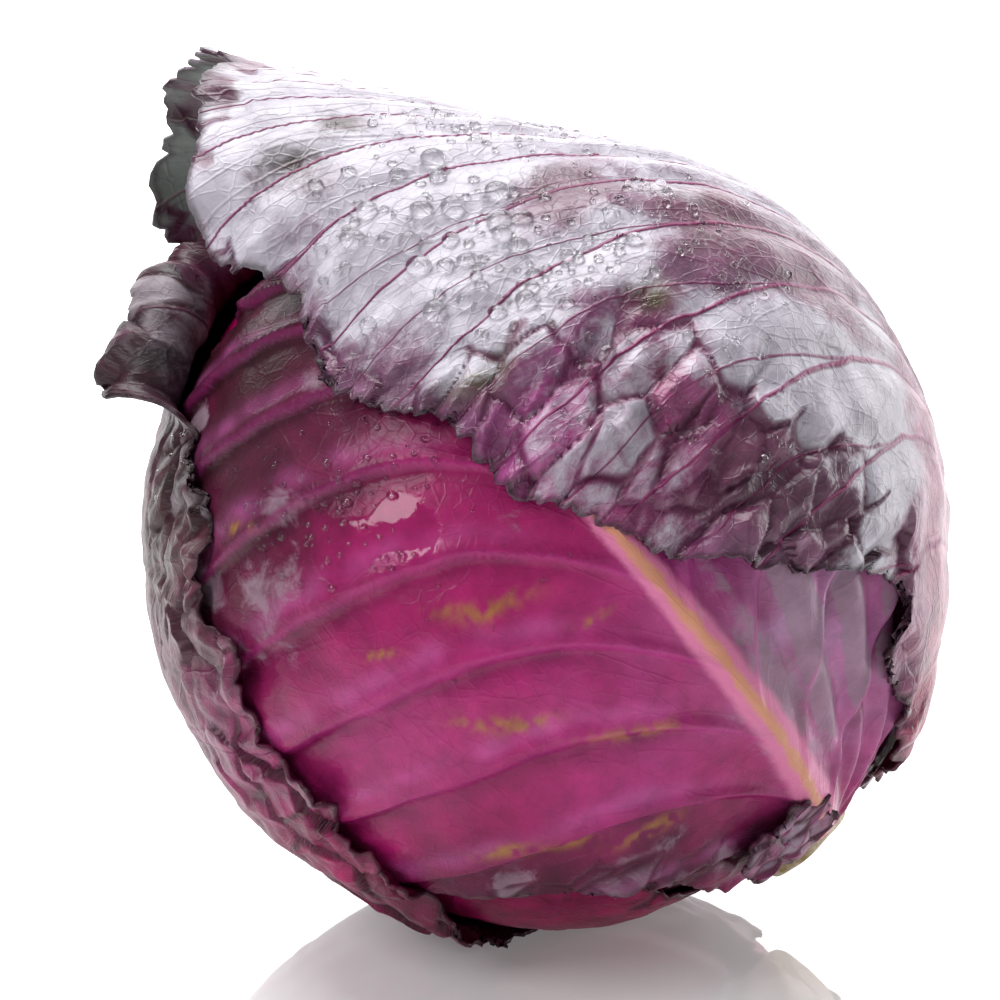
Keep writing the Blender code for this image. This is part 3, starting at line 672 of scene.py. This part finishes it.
# torn piece that dried in the air: grey-purple and matte
scrapLeaf = leafFinish("weathered_leaf_scrap", {
    **leafLook, "bloomDark": "#7c6e7c", "bloomLight": "#a89cac", "midrib": 0.0, "gloss": 0.4, "forkAt": 200})
# hollow side of the outermost leaf: green-grey
leafInside = leafFinish("grey_green_leaf_inside", {
    **leafLook, "veinColour": "#7c7c70", "veinStrength": 0.4, "midrib": 0.2, "bloomDark": "#525c56",
    "bloomLight": "#86908a", "bloomMost": 0.95, "crossColour": "#5a5a50", "bloomFull": 0.9})

print("finishes made")

skins = {}
for name, leaf, finishes, slotName in (
    ("under_leaf", underLeaf, [innerLeaf], "inner_leaf"),
    ("side_leaf", sideLeaf, [innerLeaf], "inner_leaf"),
    ("back_leaf", backLeaf, [magentaLeaf], "wrapper_leaf"),
    ("front_leaf", frontLeaf, [magentaLeaf], "wrapper_leaf"),
    ("left_leaf", leftLeaf, [mottledLeaf], "outer_leaf"),
    ("top_leaf", topLeaf, [bloomedLeaf, leafInside], "outer_leaf"),
    ("broken_leaf", scrap, [scrapLeaf], "leaf_scrap"),
):
    skins[name] = addLeaf(name + "_skin", leaf, finishes, name)


# packed inner leaves, seen only in the shade: satin purple, uneven at 14 mm
heartFinish, tree, shader = newFinish("packed_purple_leaves")
where = add(tree, "ShaderNodeTexCoord"), 3
grain = add(tree, "ShaderNodeTexNoise", {"Scale": 1 / (14 * mm), "Detail": 5.0}, Vector=where)
blend = add(tree, "ShaderNodeMix", {"data_type": "RGBA", "#6": (*srgb("#3c1026"), 1), "#7": (*srgb("#6a2040"), 1)},
            i0=grain)
tree.links.new(blend.outputs[2], shader.inputs["Base Color"])
shader.inputs["Roughness"].default_value = 0.4
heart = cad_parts["heart"]
heart.data.materials.clear()
heart.data.materials.append(heartFinish)

# cut stalk: cream pith with a green-yellow skin, fibrous and matte
stalkFinish, tree, shader = newFinish("cut_stalk_flesh")
where = add(tree, "ShaderNodeTexCoord"), 3
grain = add(tree, "ShaderNodeTexNoise", {"Scale": 1 / (5 * mm), "Detail": 7.0, "Roughness": 0.65}, Vector=where)
blend = add(tree, "ShaderNodeMix", {"data_type": "RGBA", "#6": (*srgb("#a08a50"), 1), "#7": (*srgb("#ecdcc4"), 1)},
            i0=add(tree, "ShaderNodeMapRange", {"From Min": 0.36, "From Max": 0.56}, Value=grain))
tree.links.new(blend.outputs[2], shader.inputs["Base Color"])
shader.inputs["Roughness"].default_value = 0.5
bump = add(tree, "ShaderNodeBump", {"Strength": 0.5, "Distance": 0.5 * mm}, Height=grain)
tree.links.new(bump.outputs[0], shader.inputs["Normal"])

# from and to are measured out from the middle of the head
cutStalk = {"radius": 10.6 * mm, "from": 62 * mm, "to": 84.6 * mm, "taper": 0.95, "round": 1.5 * mm,
            "rings": (1.2 * mm, 2.4 * mm, 3.6 * mm), "roughCut": 0.5 * mm, "grain": 7 * mm}


def addStalk(part):
    mesh = bmesh.new()
    bmesh.ops.create_cone(mesh, cap_ends=True, segments=56, radius1=part["radius"] * part["taper"],
                          radius2=part["radius"], depth=part["to"] - part["from"])
    rim = [e for e in mesh.edges if all(v.co.z > 0 for v in e.verts)]
    bmesh.ops.bevel(mesh, geom=rim, offset=part["round"], segments=4, affect="EDGES", profile=0.5, material=-1)
    cut = [f for f in mesh.faces if f.normal.z > 0.99]
    for width in part["rings"]:
        bmesh.ops.inset_region(mesh, faces=cut, thickness=width)
    for vertex in mesh.verts:
        swell = noise.noise(vertex.co / part["grain"]) * part["roughCut"]
        vertex.co += Vector((vertex.co.x, vertex.co.y, 0)) / part["radius"] * swell + Vector((0, 0, swell))
    turn = Vector((0, 0, 1)).rotation_difference(Vector(stalkDir))
    where = Vector(centre) + Vector(stalkDir) * (part["from"] + part["to"]) / 2
    bmesh.ops.rotate(mesh, cent=(0, 0, 0), matrix=turn.to_matrix(), verts=mesh.verts)
    bmesh.ops.translate(mesh, vec=where, verts=mesh.verts)
    data = bpy.data.meshes.new("cut_stalk")
    mesh.to_mesh(data)
    mesh.free()
    data.shade_smooth()
    data.materials.append(stalkFinish)
    made = bpy.data.objects.new("cut_stalk", data)
    bpy.context.scene.collection.objects.link(made)
    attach(made, "root")
    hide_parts("stalk")


addStalk(cutStalk)
print("heart and stalk done")

# water: IOR 1.33, clear and mirror smooth, so each drop has one sharp highlight and a dark edge
waterFinish, tree, shader = newFinish("clear_water")
shader.inputs["Base Color"].default_value = (1, 1, 1, 1)
shader.inputs["Roughness"].default_value = 0.02
shader.inputs["IOR"].default_value = 1.33
shader.inputs["Transmission Weight"].default_value = 1.0

# drops lie in groups: x, y and spread in mm on the leaf, how many of them, smallest and largest radius in mm
drops = {
    "top_leaf": [(-72, 84, 24, 16, 1.7, 2.6), (-84, 62, 18, 10, 1.6, 2.4),
                 (-63, 98, 13, 44, 0.5, 1.4), (-77, 71, 14, 70, 0.5, 1.5), (-90, 50, 14, 70, 0.45, 1.3),
                 (-62, 45, 13, 44, 0.5, 1.4), (-36, 88, 13, 60, 0.45, 1.1), (-28, 60, 13, 40, 0.45, 1.1),
                 (-103, 12, 10, 34, 0.4, 1.0), (-92, -4, 9, 30, 0.4, 0.9), (-74, 20, 13, 34, 0.45, 1.1),
                 (-118, 30, 14, 30, 0.4, 0.9)],
    "front_leaf": [(-40, 50, 12, 44, 0.4, 1.1), (-24, 58, 12, 34, 0.35, 0.9), (-52, 64, 14, 34, 0.35, 0.9),
                   (-30, 20, 24, 22, 0.25, 0.6)],
    "left_leaf": [(70, 92, 10, 10, 0.3, 0.7)],
}
dropShape = {
    "flatness": 0.72,           # height to width
    "lift": 0.3,                # how far the middle stands off the leaf, in radii
    "longest": 0.5,             # how much longer than wide a drop may be
    "overlap": 0.9,             # drops closer than this share of their radii would have run together
    "rounder": 1.4 * mm,        # from this radius up a drop has more faces
    "edge": 2 * mm,             # nothing hangs this near to a margin
    "scatter": 0.6,
}


def addDrops(groups, shape, seed=7):
    chance = random.Random(seed)
    mesh = bmesh.new()
    for name, rows in groups.items():
        skin = skins[name]
        x, y, edge = (skin["fields"][field] for field in ("x", "y", "edge"))
        places, sizes = [np.full(3, 9.0)], [0.0]        # starts with one that is far from everything
        for px, py, spread, count, small, large in rows:
            for _ in range(count):
                u = (px + chance.gauss(0, shape["scatter"]) * spread) * mm
                v = (py + chance.gauss(0, shape["scatter"]) * spread) * mm
                size = (small + (large - small) * chance.random() ** 2) * mm
                long = 1 + shape["longest"] * chance.random() ** 2
                near = int(np.argmin((x - u) ** 2 + (y - v) ** 2))
                place = skin["points"][near]
                apart = np.linalg.norm(np.array(places) - place, axis=1) - shape["overlap"] * (size + np.array(sizes))
                if edge[near] < shape["edge"] or apart.min() < 0:
                    continue
                places.append(place)
                sizes.append(size)
                drop = bmesh.new()
                across, upward = (14, 9) if size > shape["rounder"] else (9, 6)
                bmesh.ops.create_uvsphere(drop, u_segments=across, v_segments=upward, radius=size)
                bmesh.ops.scale(drop, vec=(long, 1 / long ** 0.3, shape["flatness"]), verts=drop.verts)
                up = Vector(skin["normals"][near])
                bmesh.ops.rotate(drop, matrix=up.to_track_quat("Z", "Y").to_matrix(), verts=drop.verts)
                bmesh.ops.translate(drop, vec=Vector(place) + up * size * shape["lift"], verts=drop.verts)
                one = bpy.data.meshes.new("drop")
                drop.to_mesh(one)
                drop.free()
                mesh.from_mesh(one)
                bpy.data.meshes.remove(one)
    data = bpy.data.meshes.new("water_drops")
    mesh.to_mesh(data)
    mesh.free()
    data.shade_smooth()
    data.materials.append(waterFinish)
    made = bpy.data.objects.new("water_drops", data)
    bpy.context.scene.collection.objects.link(made)
    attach(made, "root")
    print("drops with", len(data.polygons), "faces")


addDrops(drops, dropShape)

studio = {
    "distance": 750 * mm,
    "aside": (-8.2 * mm, 8.2 * mm),     # the head stands right of and below the middle of the frame
    "lens": 131.9,
    "keyPower": 18.0, "sidePower": 6.0, "fillPower": 1.2, "backPower": 60.0, "sky": 0.3,
    "tableGlow": 0.15,                  # keeps the table white where the lamps don't reach it
}

camera = bpy.data.objects.new("camera", bpy.data.cameras.new("camera"))
bpy.context.scene.collection.objects.link(camera)
camera.data.lens = studio["lens"]
camera.data.sensor_width = 36
camera.data.clip_start = 0.01
aside, above = studio["aside"]
camera.location = centre + studio["distance"] * viewDir + aside * np.array([1, 0, 0]) + above * viewUp
camera.rotation_euler = (math.radians(90 - head["viewRise"]), 0, 0)
bpy.context.scene.camera = camera

# glossy white acrylic: it mirrors the foot of the head
tableFinish, tree, shader = newFinish("white_acrylic_table")
shader.inputs["Base Color"].default_value = (0.9, 0.9, 0.9, 1)
shader.inputs["Roughness"].default_value = 0.04
shader.inputs["IOR"].default_value = 1.5
shader.inputs["Coat Weight"].default_value = 1.0
shader.inputs["Coat Roughness"].default_value = 0.03
shader.inputs["Coat IOR"].default_value = 1.6
shader.inputs["Emission Color"].default_value = (1, 1, 1, 1)
shader.inputs["Emission Strength"].default_value = studio["tableGlow"]
mesh = bmesh.new()
bmesh.ops.create_grid(mesh, x_segments=1, y_segments=1, size=3.0)
data = bpy.data.meshes.new("table")
mesh.to_mesh(data)
mesh.free()
data.materials.append(tableFinish)
table = bpy.data.objects.new("table", data)
bpy.context.scene.collection.objects.link(table)


def addSoftbox(name, place, size, power):
    lamp = bpy.data.lights.new(name, "AREA")
    lamp.shape = "RECTANGLE"
    lamp.size, lamp.size_y = size
    lamp.energy = power
    box = bpy.data.objects.new(name, lamp)
    bpy.context.scene.collection.objects.link(box)
    box.location = Vector(centre) + Vector(place)
    box.rotation_mode = "QUATERNION"
    box.rotation_quaternion = Vector(place).to_track_quat("Z", "Y")
    box.visible_camera = False          # so that no softbox stands in a view from another side


addSoftbox("top softbox", (-0.15, 0.30, 1.0), (1.0, 0.7), studio["keyPower"])
addSoftbox("left softbox", (-0.8, -0.6, 0.75), (0.3, 0.6), studio["sidePower"])
addSoftbox("right softbox", (1.1, 0.55, 0.25), (0.4, 0.8), studio["sidePower"])
addSoftbox("front fill", (0.5, -1.3, 0.35), (0.8, 0.6), studio["fillPower"])
addSoftbox("white backdrop", (0.0, 2.4, 0.75), (4.5, 1.5), studio["backPower"])

world = bpy.data.worlds.new("white studio")
bpy.context.scene.world = world
world.use_nodes = True
world.node_tree.nodes["Background"].inputs["Color"].default_value = (1, 1, 1, 1)
world.node_tree.nodes["Background"].inputs["Strength"].default_value = studio["sky"]
bpy.context.scene.view_settings.view_transform = "Standard"
